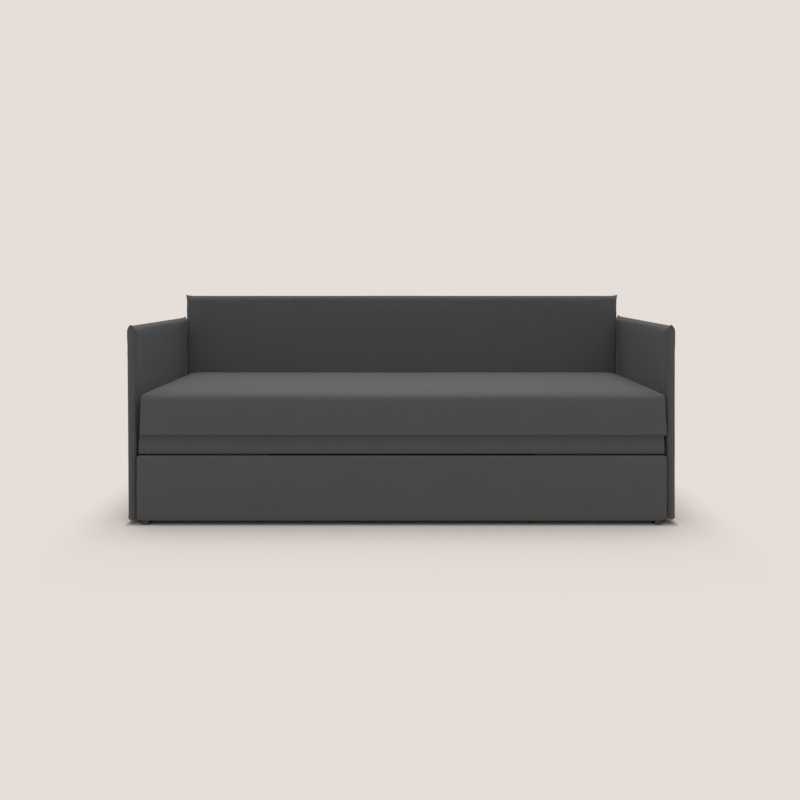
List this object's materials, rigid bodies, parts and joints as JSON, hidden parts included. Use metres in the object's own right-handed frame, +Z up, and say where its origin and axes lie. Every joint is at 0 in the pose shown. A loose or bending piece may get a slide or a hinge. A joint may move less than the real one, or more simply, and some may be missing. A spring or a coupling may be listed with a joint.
{
  "type": "sofa to bunk bed",
  "caption": "Upholstered daybed with slim arms and a low back, whose upper mattress rises on folding end frames to make a bunk bed.",
  "frame": {"origin": "on the floor, under the middle of the whole body", "axes": "+X along the bed to the right arm, +Y from the open front to the back, +Z up"},
  "size_m": [2.08, 0.9, 0.86],
  "materials": {
    "cover_fabric": "dark grey woven upholstery",
    "mattress_fabric": "dark grey woven upholstery",
    "board_wood": "raw panel board",
    "slat_wood": "bent beech ply",
    "frame_steel": "dark grey powder coat",
    "bright_steel": "zinc plated",
    "black_plastic": "black moulded",
    "bumper_rubber": "black moulded"
  },
  "bodies": {
    "base": {"front_panel_board": "board_wood", "front_panel_cover": "cover_fabric", "front_panel_bolts": "bright_steel", "base_long_rails": "frame_steel", "base_end_rails": "frame_steel", "base_middle_rail": "frame_steel", "corner_uprights": "frame_steel", "feet": "black_plastic", "middle_legs": "frame_steel", "rest_bumpers": "bumper_rubber", "base_brackets": "frame_steel", "base_pins": "bright_steel", "lower_slats": "slat_wood", "lower_mattress": "mattress_fabric", "arm_board_left": "board_wood", "arm_board_right": "board_wood", "arm_cover_left": "cover_fabric", "arm_cover_right": "cover_fabric", "arm_bolts_left": "bright_steel", "arm_bolts_right": "bright_steel", "back_board": "board_wood", "back_cover": "cover_fabric", "back_bolts": "bright_steel", "guard_hooks": "frame_steel", "hook_lips": "frame_steel"},
    "upper_bed": {"bed_side_rails": "frame_steel", "bed_end_beams": "frame_steel", "bed_hinge_plates": "frame_steel", "bed_pins": "bright_steel", "upper_slats": "slat_wood", "slat_caps": "black_plastic", "band_boards": "board_wood", "band_front_cover": "cover_fabric", "band_end_cover_left": "cover_fabric", "band_end_cover_right": "cover_fabric", "upper_mattress": "mattress_fabric"},
    "guard_rail": {"guard_posts": "frame_steel", "guard_feet": "frame_steel", "guard_bars": "frame_steel"},
    "lower_frame_left": {"lower_posts_left": "frame_steel", "lower_rungs_left": "frame_steel", "knee_stops_left": "black_plastic", "lower_knee_plates_left": "frame_steel", "knee_pins_left": "frame_steel", "lock_barrel_left": "frame_steel"},
    "upper_frame_left": {"upper_posts_left": "frame_steel", "upper_rungs_left": "frame_steel", "upper_knee_plates_left": "frame_steel"},
    "lock_left": {"lock_bolt_left": "frame_steel"},
    "lower_frame_right": {"lower_posts_right": "frame_steel", "lower_rungs_right": "frame_steel", "knee_stops_right": "black_plastic", "lower_knee_plates_right": "frame_steel", "knee_pins_right": "frame_steel", "lock_barrel_right": "frame_steel"},
    "upper_frame_right": {"upper_posts_right": "frame_steel", "upper_rungs_right": "frame_steel", "upper_knee_plates_right": "frame_steel"},
    "lock_right": {"lock_bolt_right": "frame_steel"}
  },
  "joints": [
    {"name": "lift_left", "type": "hinge", "parent": "base", "child": "lower_frame_left", "pos_m": [-0.968, 0, 0.2605], "axis": [0, -1, 0], "range_deg": [0, 90]},
    {"name": "knee_left", "type": "hinge", "parent": "lower_frame_left", "child": "upper_frame_left", "pos_m": [-0.528, 0, 0.2735], "axis": [0, -1, 0], "range_deg": [-180, 0]},
    {"name": "bed_hinge_left", "type": "hinge", "parent": "upper_frame_left", "child": "upper_bed", "pos_m": [-0.968, 0, 0.2865], "axis": [0, -1, 0], "range_deg": [0, 90]},
    {"name": "lift_right", "type": "hinge", "parent": "base", "child": "lower_frame_right", "pos_m": [0.968, 0, 0.2605], "axis": [0, 1, 0], "range_deg": [0, 90]},
    {"name": "knee_right", "type": "hinge", "parent": "lower_frame_right", "child": "upper_frame_right", "pos_m": [0.528, 0, 0.2735], "axis": [0, 1, 0], "range_deg": [-180, 0]},
    {"name": "lock_slide_left", "type": "slide", "parent": "lower_frame_left", "child": "lock_left", "axis": [0, 1, 0], "range_m": [0, 0.006]},
    {"name": "lock_slide_right", "type": "slide", "parent": "lower_frame_right", "child": "lock_right", "axis": [0, 1, 0], "range_m": [0, 0.006]},
    {"name": "guard_lift", "type": "slide", "parent": "base", "child": "guard_rail", "axis": [0, 0, 1], "range_m": [0, 0.56]}
  ],
  "couplings": [
    {"joint": "knee_left", "follows": "lift_left", "ratio": -2},
    {"joint": "bed_hinge_left", "follows": "lift_left", "ratio": 1},
    {"joint": "lift_right", "follows": "lift_left", "ratio": 1},
    {"joint": "knee_right", "follows": "lift_left", "ratio": -2}
  ]
}
